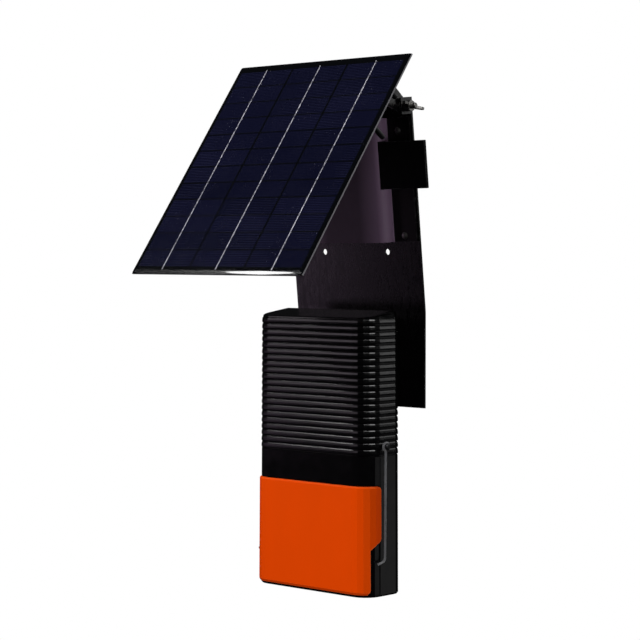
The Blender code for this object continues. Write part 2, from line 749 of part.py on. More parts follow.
def make_housing_back():
    housing = loft("housing_back", ribbed_rings(), BLACK_PLASTIC)
    cut(housing, behind("before_back_shell", -0.2, SEAM_BACK))
    cut(housing, plain_loft("back_cavity", 41 * MM, CASE_BOTTOM + 3 * MM, -WALL, CASE_BACK + 0.4 * MM))
    for index, (x, z) in enumerate(HOUSING_SCREW_PLACES):
        cut(housing, rod(f"back_screw_hole_{index}", 1.8 * MM, -40 * MM, -20 * MM, 1, (x, z), sides=10))
    for index, (x, z) in enumerate(CASE_SCREW_PLACES):
        cut(housing, rod(f"back_case_hole_{index}", 2.1 * MM, -40 * MM, -20 * MM, 1,
                         (x, z), sides=10))
    for side in (-1, 1):
        cut(housing, rod(f"gland_hole_{side}", 6.35 * MM, -40 * MM, -20 * MM, 1,
                         (side * GLAND_X, GLAND_Z)))


def make_gasket():
    rings = [case_ring(45 * MM, -1.6 * MM), case_ring(-238 * MM, -1.6 * MM)]
    gasket = loft("housing_gasket", rings, RUBBER)
    cut(gasket, plain_loft("gasket_inside", 41.2 * MM, -236.3 * MM, -WALL + 0.2 * MM, 0))
    cut(gasket, behind("before_gasket", -0.2, SEAM_FRONT + GAP))
    cut(gasket, behind("behind_gasket", SEAM_BACK - GAP, 0.1))


def pan_screw(name, place, head_radius, shank_radius, length, steps=12):
    """A pan-head screw that points forward (-Y) from the face under its head."""
    profile = [
        (0, 2.4 * MM), (head_radius * 0.7, 2.1 * MM), (head_radius, 1 * MM), (head_radius, 0),
        (shank_radius, 0), (shank_radius, -length + 1 * MM), (0.4 * shank_radius, -length), (0, -length),
    ]
    return turned(name, profile, ZINC, None, place, (-math.pi / 2, 0, 0), steps)


def make_housing_screws():
    for index, (x, z) in enumerate(HOUSING_SCREW_PLACES, 1):
        pan_screw(f"housing_screw_{index}", (x, CASE_BACK + GAP, z), 3.4 * MM, 1.2 * MM, 21 * MM, 10)


def make_case_bracket():
    """A hat-section standoff: its web is on the plate, and its flanges are on the case."""
    half = STANDOFF_WIDTH / 2
    edge = half + STANDOFF_FLANGE
    web = -(PLATE_THICKNESS + GAP)
    foot = CASE_BACK + 0.6 * MM + 2 * MM
    section = [(-edge, foot), (-half, foot), (-half, web), (half, web), (half, foot), (edge, foot)]
    bracket = bent_sheet("case_bracket", section[::-1], -STANDOFF_HALF_HEIGHT, STANDOFF_HALF_HEIGHT,
                         2 * MM, 3 * MM, BLACK_STEEL)
    for index, (x, z) in enumerate(CASE_SCREW_PLACES):
        cut(bracket, rod(f"bracket_case_hole_{index}", 2.1 * MM, -40 * MM, -15 * MM, 1,
                         (x, z), sides=10))


def make_bracket_screws():
    foot = CASE_BACK + 0.6 * MM + 2 * MM
    for index, (x, z) in enumerate(CASE_SCREW_PLACES, 1):
        pan_screw(f"case_screw_{index}", (x, foot + GAP, z), 3.8 * MM, 1.75 * MM, 9 * MM, 10)


def make_battery():
    low = [c - s / 2 for c, s in zip(BATTERY_CENTRE, BATTERY_SIZE)]
    high = [c + s / 2 for c, s in zip(BATTERY_CENTRE, BATTERY_SIZE)]
    battery = span_box("battery", low, high, BATTERY_GREY, bevel=1.5 * MM)
    for side in (-1, 1):
        x = BATTERY_CENTRE[0] + side * 18 * MM
        tab = span_box(f"battery_tab_{side}", (x - 3 * MM, -60 * MM, high[2] - 3 * MM),
                       (x + 3 * MM, -59.2 * MM, high[2] + 6 * MM))
        join(battery, tab)
    side = BATTERY_SIZE[0] / 2 + 0.5 * MM
    rear = high[1] + 0.5 * MM
    front = low[1] + 3 * MM
    middle = BATTERY_CENTRE[0]
    low_x = middle - side
    high_x = middle + side
    section = [(low_x, front), (low_x, rear), (high_x, rear), (high_x, front)]
    bent_sheet("battery_strap", section, -60 * MM, -44 * MM, 1.2 * MM, 1.5 * MM, STRAP_BLACK)


def make_electronics():
    low = [c - s / 2 for c, s in zip(BOARD_CENTRE, BOARD_SIZE)]
    high = [c + s / 2 for c, s in zip(BOARD_CENTRE, BOARD_SIZE)]
    span_box("circuit_board", low, high, BOARD_GREEN)
    x, y, z = CORE_CENTRE
    core = span_box("transformer_core", (x - 22 * MM, y - 8 * MM, z - 19 * MM),
                    (x + 22 * MM, y + 8 * MM, z + 19 * MM), FERRITE, bevel=0.6 * MM, segments=1)
    for side in (-1, 1):
        cut(core, span_box(f"core_window_{side}", (x + side * 6 * MM, y - 12 * MM, z - 13 * MM),
                           (x + side * 15.5 * MM, y + 12 * MM, z + 13 * MM)))
    coil = span_box("transformer_coil", (x - 15.1 * MM, y - 14 * MM, z - 12.6 * MM),
                    (x + 15.1 * MM, y + 14 * MM, z + 12.6 * MM), COPPER, bevel=5 * MM, segments=3)
    cut(coil, span_box("coil_window", (x - 6.4 * MM, y - 8.4 * MM, z - 20 * MM),
                       (x + 6.4 * MM, y + 8.4 * MM, z + 20 * MM)))
    tall = 22 * MM
    profile = [
        (0, tall), (10.5 * MM, tall), (12.5 * MM, tall - 1.5 * MM), (12.5 * MM, -tall + 4 * MM),
        (11.8 * MM, -tall + 3 * MM), (12.5 * MM, -tall + 2 * MM), (11.5 * MM, -tall), (0, -tall),
    ]
    turned("storage_capacitor", profile, CAPACITOR_BLUE, None, CAPACITOR_CENTRE)


def make_terminals():
    """A stud through the bay's wall, with a knob on it, for the fence and for the earth."""
    face = BAY_WALL_FRONT - BAY_WALL_BACK
    turn = (math.pi / 2, 0, 0)
    stud = [
        (0, 15.5 * MM), (2.4 * MM, 15.5 * MM), (3 * MM, 14.7 * MM), (3 * MM, face - GAP),
        (6.5 * MM, face - GAP), (6.5 * MM, face - 3.3 * MM), (3 * MM, face - 3.3 * MM),
        (3 * MM, face - 9 * MM), (0, face - 9 * MM),
    ]
    knob = [
        (3.35 * MM, 14 * MM), (8 * MM, 14 * MM), (9.6 * MM, 12.6 * MM), (10 * MM, 3 * MM),
        (8 * MM, 1.6 * MM), (7 * MM, 0.4 * MM), (3.35 * MM, 0.4 * MM),
    ]
    for label, x, finish in (("fence", -TERMINAL_X, RED_PLASTIC), ("earth", TERMINAL_X, GREEN_PLASTIC)):
        place = (x, BAY_WALL_FRONT, TERMINAL_Z)
        turned(label + "_terminal_stud", stud, BRASS, None, place, turn, steps=12)
        turned(label + "_terminal_knob", knob, finish, None, place, turn, steps=16)


def make_switch_and_lens():
    bezel = span_box("switch_bezel", (-10.5 * MM, BAY_WALL_FRONT - 2 * MM, SWITCH_Z - 14.5 * MM),
                     (10.5 * MM, BAY_WALL_FRONT - GAP, SWITCH_Z + 14.5 * MM), BLACK_PLASTIC,
                     bevel=0.5 * MM, segments=1)
    sleeve = span_box("switch_sleeve", (-8.4 * MM, BAY_WALL_FRONT - 1 * MM, SWITCH_Z - 12.4 * MM),
                      (8.4 * MM, BAY_WALL_BACK + 6 * MM, SWITCH_Z + 12.4 * MM))
    opening = span_box("switch_opening", (-7 * MM, -0.1, SWITCH_Z - 11 * MM),
                       (7 * MM, BAY_WALL_BACK + 4.4 * MM, SWITCH_Z + 11 * MM))
    join(bezel, sleeve)
    cut(bezel, opening)
    outline = [
        (3.4 * MM, -9.8 * MM), (1.6 * MM, 0), (3.4 * MM, 9.8 * MM), (-1.4 * MM, 9.4 * MM),
        (-3.6 * MM, 5 * MM), (-3.6 * MM, -5 * MM), (-1.4 * MM, -9.4 * MM),
    ]
    flat_shape("power_switch", outline, 13.2 * MM, RED_PLASTIC, SWITCH_PIVOT,
               turn=(math.pi / 2, 0, -math.pi / 2))
    lens = [
        (0, 3.4 * MM), (2.2 * MM, 2.7 * MM), (3 * MM, 1.4 * MM), (4.4 * MM, 1.3 * MM),
        (4.4 * MM, GAP), (3 * MM, GAP), (3 * MM, -5 * MM), (0, -5 * MM),
    ]
    turned("indicator_lens", lens, LENS_CLEAR, None, (0, BAY_WALL_FRONT, LENS_Z),
           (math.pi / 2, 0, 0), steps=16)


def make_glands():
    profile = [
        (2.4 * MM, 13 * MM), (5.5 * MM, 12.4 * MM), (8 * MM, 8.5 * MM), (8 * MM, 3.4 * MM),
        (9.5 * MM, 3.4 * MM), (9.5 * MM, 0.3 * MM), (6 * MM, 0.3 * MM), (6 * MM, -6 * MM),
        (2.4 * MM, -6 * MM),
    ]
    for label, x in (("panel_lead", -GLAND_X), ("fence_lead", GLAND_X)):
        turned(label + "_gland", profile, BLACK_PLASTIC, None, (x, CASE_BACK, GLAND_Z),
               (-math.pi / 2, 0, 0), steps=16)


def cover_rings():
    middle = (COVER_TOP + COVER_BOTTOM) / 2
    return [
        case_ring(COVER_TOP, COVER_PROUD - 2 * MM, -10 * MM),
        case_ring(COVER_TOP - 0.6 * MM, COVER_PROUD - 0.6 * MM, -10 * MM),
        case_ring(COVER_TOP - 2 * MM, COVER_PROUD, -10 * MM),
        case_ring(middle, COVER_PROUD, -10 * MM),
        case_ring(COVER_BOTTOM + 2.4 * MM, COVER_PROUD, -10 * MM),
        case_ring(COVER_BOTTOM, COVER_PROUD - 1.2 * MM, -10 * MM),
    ]


def make_front_cover():
    cover = loft("front_cover", cover_rings(), ORANGE_PLASTIC)
    cover.parent = COVER_HINGE
    cover.location = (0, -COVER_AXIS_Y, -COVER_AXIS_Z)
    cut(cover, plain_loft("cover_inside", -110 * MM, -250 * MM, COVER_INSET, 0))
    rear = COVER_REAR_EDGE
    notch = COVER_NOTCH_EDGE
    radius = 5 * MM
    keep = arc((rear - radius, COVER_TOP - radius + 0.5 * MM), radius, 90, 0, 4)
    keep += arc((rear - 7 * MM, COVER_NOTCH_TOP + 7 * MM), 7 * MM, 0, -72, 5)
    keep += [(notch, COVER_NOTCH_TOP - 6 * MM), (notch, COVER_BOTTOM + 5 * MM)]
    keep += [(notch - 2 * MM, COVER_BOTTOM - 1 * MM)]
    outline = keep + [(0.05, COVER_BOTTOM - 1 * MM), (0.05, -0.1), (keep[0][0], -0.1)]
    side_cutter = flat_shape(
        "cover_side_cutter", outline, 0.3, place=(0, 0, 0), turn=(math.pi / 2, 0, math.pi / 2)
    )
    cut(cover, side_cutter)
    low, high = KNUCKLE_X
    for side in (-1, 1):
        block = span_box(f"knuckle_block_{side}", (side * low, -81.4 * MM, COVER_AXIS_Z - 2.2 * MM),
                         (side * high, COVER_AXIS_Y, COVER_AXIS_Z + 2.2 * MM))
        barrel = rod(f"knuckle_{side}", 2.3 * MM, side * low, side * high, 0,
                     (COVER_AXIS_Y, COVER_AXIS_Z), sides=16)
        bore = rod(f"knuckle_bore_{side}", 1.15 * MM, side * (low - 2 * MM), side * (high + 2 * MM), 0,
                   (COVER_AXIS_Y, COVER_AXIS_Z), sides=8)
        join(cover, block, barrel)
        cut(cover, bore)


def make_cover_pins():
    start = LUG_X[0] - 0.6 * MM
    end = KNUCKLE_X[1] + 0.6 * MM
    for side in (-1, 1):
        label = "left" if side < 0 else "right"
        rod("cover_pin_" + label, 0.85 * MM, side * start, side * end, 0,
            (COVER_AXIS_Y, COVER_AXIS_Z), STAINLESS, sides=8)


def latch_path():
    """From the pivot: the eye round it, the shank, and the end that hooks forward."""
    points = arc((0, 0), EYE_RADIUS, -48, 246, 18)
    points += [(-0.5 * MM, -5.6 * MM), (-0.6 * MM, -8 * MM), (-1.6 * MM, -SHANK_LENGTH)]
    points += arc((-1.7 * MM - HOOK_RADIUS, -SHANK_LENGTH), HOOK_RADIUS, -14, -76, 5)
    points.append((-11.8 * MM, -SHANK_LENGTH - HOOK_RADIUS - 1.4 * MM))
    return points


def make_latches():
    for side in (-1, 1):
        label = "left" if side < 0 else "right"
        curve = bpy.data.curves.new("latch_wire_" + label, "CURVE")
        curve.dimensions = "3D"
        curve.bevel_depth = WIRE_RADIUS
        curve.bevel_resolution = 2
        curve.use_fill_caps = True
        points = latch_path()
        line = curve.splines.new("POLY")
        line.points.add(len(points) - 1)
        for point, (y, z) in zip(line.points, points):
            point.co = (0, y, z, 1)
        add("latch_wire_" + label, curve, STAINLESS, None, (side * LATCH_X, LATCH_Y, LATCH_Z))
        profile = [
            (0, 88.4 * MM), (2 * MM, 88.2 * MM), (3.4 * MM, 87.4 * MM), (3.4 * MM, 86.4 * MM),
            (2.35 * MM, 86.4 * MM), (2.35 * MM, 74 * MM), (0, 74 * MM),
        ]
        turned("latch_stud_" + label, profile, ZINC, None, (0, LATCH_Y, LATCH_Z),
               (0, side * math.pi / 2, 0), steps=12)


def main():
    make_mount_plate()
    make_tilt_channel()
    make_cross_bar()
    make_rivets()
    make_panel()
    make_rails()
    make_panel_bracket()
    make_rail_fasteners()
    make_junction_box()
    make_hinge()
    make_housing_front()
    make_housing_back()
    make_gasket()
    make_housing_screws()
    make_case_bracket()
    make_bracket_screws()
    make_battery()
    make_electronics()
    make_terminals()
    make_switch_and_lens()
    make_glands()
    make_front_cover()
    make_cover_pins()
    make_latches()


main()
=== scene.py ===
import json
import math

import bmesh
import bpy
from mathutils import Matrix, Vector


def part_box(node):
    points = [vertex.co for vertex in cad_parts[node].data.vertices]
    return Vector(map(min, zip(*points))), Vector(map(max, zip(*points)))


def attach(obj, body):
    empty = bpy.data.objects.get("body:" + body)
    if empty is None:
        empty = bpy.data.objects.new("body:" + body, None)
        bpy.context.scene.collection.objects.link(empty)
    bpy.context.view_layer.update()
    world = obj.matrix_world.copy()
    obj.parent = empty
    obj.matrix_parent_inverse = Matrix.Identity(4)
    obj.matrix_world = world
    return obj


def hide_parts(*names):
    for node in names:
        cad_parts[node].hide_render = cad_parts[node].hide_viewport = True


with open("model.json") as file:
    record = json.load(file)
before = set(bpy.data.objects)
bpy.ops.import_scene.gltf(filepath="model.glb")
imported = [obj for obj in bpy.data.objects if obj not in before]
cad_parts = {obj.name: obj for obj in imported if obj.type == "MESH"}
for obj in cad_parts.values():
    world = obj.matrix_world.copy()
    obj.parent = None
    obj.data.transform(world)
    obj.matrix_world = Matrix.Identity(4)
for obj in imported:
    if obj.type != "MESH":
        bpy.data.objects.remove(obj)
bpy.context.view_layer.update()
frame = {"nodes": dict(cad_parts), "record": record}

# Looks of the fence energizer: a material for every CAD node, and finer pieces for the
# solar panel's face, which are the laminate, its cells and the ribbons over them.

NODES = frame["nodes"]
MM = 0.001
SIDEWAYS = (1, 0, 0)
UPWARDS = (0, 0, 1)

# Smooth shading stops at edges sharper than these.
CAD_SMOOTH_ANGLE = 32
LAMINATE_SMOOTH_ANGLE = 50
CELL_SMOOTH_ANGLE = 10
RIBBON_SMOOTH_ANGLE = 30


def middle_of(node):
    low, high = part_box(node)
    return (Vector(low) + Vector(high)) / 2


# Solar panel at rest: its slope, and the layout of its cells.
PANEL_TILT = math.radians(54.1)
UP_SLOPE = Vector((0, math.cos(PANEL_TILT), math.sin(PANEL_TILT)))
OUT_OF_PANEL = Vector((0, -UP_SLOPE.z, UP_SLOPE.y))
PANEL_CENTRE = middle_of("panel_cell_sheet")
PANEL_HALF_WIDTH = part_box("panel_cell_sheet")[1].x
PANEL_HALF_LENGTH = 135.5 * MM
PANEL_HALF_THICKNESS = 0.35 * MM
PANEL_CORNER = 2.5 * MM
PANEL_PLACE = Matrix.Translation(PANEL_CENTRE) @ Matrix((
    (1, 0, 0, 0),
    (0, UP_SLOPE.y, OUT_OF_PANEL.y, 0),
    (0, UP_SLOPE.z, OUT_OF_PANEL.z, 0),
    (0, 0, 0, 1),
))

CELL_COLUMNS = 3
CELL_ROWS = 12
CELL_MARGIN_X = 5.5 * MM
CELL_MARGIN_Y = 8.5 * MM
CELL_GAP = 1.3 * MM
CELL_COLUMN_GAP = 2.4 * MM
CELL_PITCH_X = (2 * PANEL_HALF_WIDTH - 2 * CELL_MARGIN_X + CELL_COLUMN_GAP) / CELL_COLUMNS
CELL_PITCH_Y = (2 * PANEL_HALF_LENGTH - 2 * CELL_MARGIN_Y + CELL_GAP) / CELL_ROWS
CELL_CORNER = 0.9 * MM
CELL_BASE = 0.15 * MM
CELL_TOP = 0.29 * MM
CELL_RIM = 0.03 * MM
CELL_RIM_INSET = 0.08 * MM

RIBBON_WIDTH = 1.2 * MM
RIBBON_BASE = 0.26 * MM
RIBBON_TOP = 0.345 * MM
RIBBON_BEVEL = 0.03 * MM
RIBBON_OVERHANG = 1.0 * MM
RIBBON_LOW_OVERHANG = 3.0 * MM
JOIN_HALF_WIDTH = 0.62 * RIBBON_WIDTH
JOIN_HALF_LENGTH = 1.1 * MM
JOIN_DROP = 0.8 * MM


# ---------------------------------------------------------------- material helpers

class Painter:
    """Builds one node material; its methods return the socket that carries a value."""

    def __init__(self, name, roughness, metallic=0.0, **settings):
        self.material = bpy.data.materials.new(name)
        self.material.use_nodes = True
        self.tree = self.material.node_tree
        self.shader = self.tree.nodes["Principled BSDF"]
        self.shader.inputs["Roughness"].default_value = roughness
        self.shader.inputs["Metallic"].default_value = metallic
        for key, value in settings.items():
            self.shader.inputs[key.replace("_", " ")].default_value = value
        self.position = self.node("ShaderNodeTexCoord").outputs["Object"]

    def node(self, kind, **settings):
        made = self.tree.nodes.new(kind)
        for key, value in settings.items():
            setattr(made, key, value)
        return made

    def feed(self, socket, value):
        if isinstance(value, bpy.types.NodeSocket):
            self.tree.links.new(value, socket)
        else:
            socket.default_value = value

    def math(self, operation, *values):
        node = self.node("ShaderNodeMath", operation=operation)
        for socket, value in zip(node.inputs, values):
            self.feed(socket, value)
        return node.outputs[0]

    def along(self, direction, origin=(0, 0, 0)):
        """Distance from origin along a direction."""
        shift = self.node("ShaderNodeVectorMath", operation="SUBTRACT")
        self.feed(shift.inputs[0], self.position)
        shift.inputs[1].default_value = origin
        dot = self.node("ShaderNodeVectorMath", operation="DOT_PRODUCT")
        self.feed(dot.inputs[0], shift.outputs[0])
        dot.inputs[1].default_value = direction
        return dot.outputs["Value"]

    def stretched(self, factors):
        node = self.node("ShaderNodeVectorMath", operation="MULTIPLY")
        self.feed(node.inputs[0], self.position)
        node.inputs[1].default_value = factors
        return node.outputs[0]

    def noise(self, scale, detail=3.0, rough=0.5, vector=None):
        node = self.node("ShaderNodeTexNoise")
        node.inputs["Scale"].default_value = scale
        node.inputs["Detail"].default_value = detail
        node.inputs["Roughness"].default_value = rough
        self.feed(node.inputs["Vector"], vector or self.position)
        return node.outputs["Fac"]

    def spread(self, value, low, high, to_low=0.0, to_high=1.0):
        """Maps low..high to to_low..to_high, and holds the ends."""
        node = self.node("ShaderNodeMapRange")
        self.feed(node.inputs["Value"], value)
        limits = {"From Min": low, "From Max": high, "To Min": to_low, "To Max": to_high}
        for key, number in limits.items():
            node.inputs[key].default_value = number
        return node.outputs["Result"]

    def mix(self, factor, first, second):
        node = self.node("ShaderNodeMix", data_type="RGBA")
        colours = [socket for socket in node.inputs if socket.type == "RGBA"]
        self.feed(node.inputs["Factor"], factor)
        for socket, colour in zip(colours, (first, second)):
            self.feed(socket, colour if isinstance(colour, bpy.types.NodeSocket) else (*colour, 1))
        return [socket for socket in node.outputs if socket.type == "RGBA"][0]

    def edges(self, radius, low=0.01, high=0.12):
        """1 on sharp edges, 0 on flat stretches."""
        rounded = self.node("ShaderNodeBevel", samples=4)
        rounded.inputs["Radius"].default_value = radius
        flat = self.node("ShaderNodeNewGeometry").outputs["Normal"]
        dot = self.node("ShaderNodeVectorMath", operation="DOT_PRODUCT")
        self.feed(dot.inputs[0], rounded.outputs[0])
        self.feed(dot.inputs[1], flat)
        return self.spread(self.math("SUBTRACT", 1.0, dot.outputs["Value"]), low, high)

    def specks(self, scale, level):
        """Small sparse specks of dust, denser in some places."""
        strong = self.spread(self.noise(scale, 1.0, 0.5), level, level + 0.03)
        places = self.spread(self.noise(28, 2.0, 0.6), 0.52, 0.66)
        return self.math("MULTIPLY", strong, places)

    def colour(self, value):
        self.feed(self.shader.inputs["Base Color"], value)

    def roughness(self, value):
        self.feed(self.shader.inputs["Roughness"], value)

    def bump(self, height, distance, strength=1.0):
        node = self.node("ShaderNodeBump")
        node.inputs["Strength"].default_value = strength
        node.inputs["Distance"].default_value = distance
        self.feed(node.inputs["Height"], height)
        self.feed(self.shader.inputs["Normal"], node.outputs[0])


def tint(colour, factor):
    return tuple(channel * factor for channel in colour)


# ---------------------------------------------------------------- families of materials

def moulded(name, colour, roughness=0.4, grain=1400, depth=0.02 * MM, variation=0.12, rim_highlight=None,
            **settings):
    """Moulded plastic: a fine spark-eroded grain, faint flow marks, and a painted highlight along the
    rims if asked.
    """
    paint = Painter(name, roughness, **settings)
    flow = paint.noise(35, 4.0, 0.6, paint.stretched((1.0, 1.0, 0.45)))
    body = paint.mix(flow, tint(colour, 1 - variation), tint(colour, 1 + variation))
    if rim_highlight:
        # Painted highlight: the rims take a paler colour, as if they caught the light.
        body = paint.mix(paint.edges(1.1 * MM, 0.02, 0.16), body, rim_highlight)
    paint.colour(body)
    smears = paint.noise(90, 5.0, 0.65)
    paint.roughness(paint.spread(smears, 0.3, 0.7, roughness - 0.05, roughness + 0.07))
    paint.bump(paint.noise(grain, 2.0), depth, 0.6)
    return paint.material


def coated_steel(name, colour, roughness=0.27, painted_sheen_zone=None, **settings):
    """Powder coat: orange peel, faint scuffs, and paler edges, partly where the coat is thin and
    partly a painted highlight where edges catch light.

    The zone argument is a half width and a colour. Within that distance of the middle the coat
    takes that colour, painted lighter outwards: a painted sheen where the surface catches light.
    """
    paint = Painter(name, roughness, **settings)
    cloud = paint.noise(30, 4.0, 0.6)
    coat = paint.mix(cloud, tint(colour, 0.8), tint(colour, 1.25))
    # Painted sheen: a violet-grey band across the middle, painted lighter towards its sides.
    if painted_sheen_zone:
        half_width, sheen = painted_sheen_zone
        off_centre = paint.math("ABSOLUTE", paint.along(SIDEWAYS))
        inside = paint.math("LESS_THAN", off_centre, half_width)
        outwards = paint.spread(off_centre, 0.4 * half_width, half_width)
        coat = paint.mix(inside, coat, paint.mix(outwards, tint(sheen, 0.9), tint(sheen, 4.0)))
    # Paler edges: partly worn coat, partly a painted highlight where edges catch light.
    patches = paint.spread(paint.noise(160, 4.0), 0.45, 0.7)
    worn_and_highlit_edges = paint.math("MULTIPLY", paint.edges(0.6 * MM), patches)
    paint.colour(paint.mix(worn_and_highlit_edges, coat, (0.10, 0.10, 0.105)))
    scuffs = paint.noise(220, 6.0, 0.7, paint.stretched((1.0, 1.0, 0.3)))
    paint.roughness(paint.spread(scuffs, 0.35, 0.75, roughness - 0.06, roughness + 0.12))
    paint.bump(paint.noise(650, 2.0, 0.4), 0.06 * MM, 0.5)
    return paint.material


def metal(name, colour, roughness=0.3, stretch=(1.0, 1.0, 1.0), variation=0.25, metallic=1.0):
    """Plated or drawn metal: fine streaks and blotches in the plating."""
    paint = Painter(name, roughness, metallic)
    blotches = paint.noise(240, 4.0, 0.6)
    paint.colour(paint.mix(blotches, tint(colour, 1 - variation), tint(colour, 1 + variation / 2)))
    streaks = paint.noise(900, 3.0, 0.5, paint.stretched(stretch))
    paint.roughness(paint.spread(streaks, 0.3, 0.7, roughness - 0.08, roughness + 0.12))
    paint.bump(streaks, 0.03 * MM, 0.5)
    return paint.material


# ---------------------------------------------------------------- single materials

def copper_winding():
    """Enamelled wire: each turn is painted lighter on its crown and darker in the groove beside it, a
    painted highlight and painted shade.
    """
    wire_pitch = 0.7 * MM
    paint = Painter("coil_winding", 0.34, 0.85)
    phase = paint.math("MULTIPLY", paint.along(UPWARDS), 2 * math.pi / wire_pitch)
    turns = paint.math("SINE", phase)
    # Painted highlight on each crown and painted shade in each groove.
    paint.colour(paint.mix(paint.spread(turns, -1, 1), (0.20, 0.06, 0.02), (0.62, 0.24, 0.09)))
    paint.bump(turns, 0.12 * MM)
    return paint.material


def panel_backing():
    """Grey back sheet, near-black along the edge of the panel's lower end."""
    dark_edge_width = 0.6 * MM
    paint = Painter("backing_grey", 0.45)
    cloud = paint.noise(40, 4.0)
    sheet = paint.mix(cloud, (0.17, 0.165, 0.18), (0.27, 0.262, 0.28))
    # Near-black along the lowest strip of the sheet and its end face.
    dark_edge_start = PANEL_CENTRE - UP_SLOPE * (PANEL_HALF_LENGTH - dark_edge_width)
    dark_lower_edge = paint.math("LESS_THAN", paint.along(UP_SLOPE, dark_edge_start), 0.0)
    paint.colour(paint.mix(dark_lower_edge, sheet, (0.004, 0.004, 0.005)))
    paint.bump(paint.noise(900, 2.0), 0.02 * MM, 0.6)
    return paint.material


def laminate():
    """Black back sheet under clear resin, with a few specks of dust on it."""
    paint = Painter("panel_laminate", 0.22, Coat_Weight=1.0, Coat_Roughness=0.03,
                    Specular_IOR_Level=0.2)
    cloud = paint.noise(50, 3.0)
    sheet = paint.mix(cloud, (0.0007, 0.0009, 0.0012), (0.0016, 0.0019, 0.0026))
    paint.colour(paint.mix(paint.specks(900, 0.80), sheet, (0.25, 0.25, 0.28)))
    paint.bump(paint.noise(35, 2.0), 0.06 * MM, 0.25)
    return paint.material


def silicon_cells():
    """Deep blue silicon: a tone of its own for each cell, mottled crystals, printed fingers."""
    finger_pitch = 2.1 * MM
    finger_half_share = 0.055
    paint = Painter("solar_cell", 0.24, Coat_Weight=0.35, Coat_Roughness=0.03,
                    Specular_IOR_Level=0.15)
    corner = Vector((CELL_MARGIN_X - PANEL_HALF_WIDTH, CELL_MARGIN_Y - PANEL_HALF_LENGTH, 0))
    first_cell = PANEL_PLACE @ corner
    across = paint.along(SIDEWAYS, first_cell)
    along = paint.along(UP_SLOPE, first_cell)
    column = paint.math("FLOOR", paint.math("DIVIDE", across, CELL_PITCH_X))
    row = paint.math("FLOOR", paint.math("DIVIDE", along, CELL_PITCH_Y))
    tone = paint.node("ShaderNodeTexWhiteNoise", noise_dimensions="1D")
    paint.feed(tone.inputs["W"], paint.math("MULTIPLY_ADD", column, 17.0, row))
    silicon = paint.mix(tone.outputs["Value"], (0.0021, 0.0024, 0.0092), (0.0036, 0.0039, 0.0145))
    crystals = paint.node("ShaderNodeTexVoronoi")
    crystals.inputs["Scale"].default_value = 160
    paint.feed(crystals.inputs["Vector"], paint.position)
    mottling = paint.spread(crystals.outputs["Distance"], 0.0, 0.9, 0.0, 0.35)
    silicon = paint.mix(mottling, silicon, (0.0020, 0.0025, 0.0110))
    step = paint.math("FRACT", paint.math("DIVIDE", along, finger_pitch))
    from_finger = paint.math("ABSOLUTE", paint.math("SUBTRACT", step, 0.5))
    finger = paint.math("LESS_THAN", from_finger, finger_half_share)
    fade = paint.spread(paint.noise(12, 2.0), 0.35, 0.65, 0.25, 1.0)
    printed = paint.mix(paint.math("MULTIPLY", finger, fade), silicon, (0.020, 0.021, 0.050))
    paint.colour(paint.mix(paint.specks(1100, 0.76), printed, (0.30, 0.30, 0.36)))
    paint.roughness(paint.spread(paint.noise(60, 4.0), 0.3, 0.7, 0.20, 0.28))
    paint.bump(paint.noise(45, 2.0), 0.05 * MM, 0.2)
    return paint.material


def tinned_ribbon():
    """Tinned copper with uneven solder, so that it's bright in spots only."""
    paint = Painter("tinned_ribbon", 0.30, 0.35)
    blotches = paint.noise(300, 4.0, 0.7)
    solder = paint.spread(blotches, 0.38, 0.62)
    paint.colour(paint.mix(solder, (0.09, 0.09, 0.11), (0.80, 0.78, 0.85)))
    paint.roughness(paint.spread(blotches, 0.3, 0.7, 0.42, 0.22))
    paint.bump(blotches, 0.12 * MM, 0.8)
    return paint.material


# ---------------------------------------------------------------- finishes of the CAD nodes

# The channel's web is painted violet-grey up to this distance from the middle, which is on its large
# bends: a painted sheen, lighter outwards.
PAINTED_SHEEN_HALF_WIDTH = 58.4 * MM
PAINTED_SHEEN_VIOLET = (0.042, 0.027, 0.043)

STUD = metal("blackened_stud", (0.05, 0.05, 0.052), 0.40)
BACKING = panel_backing()

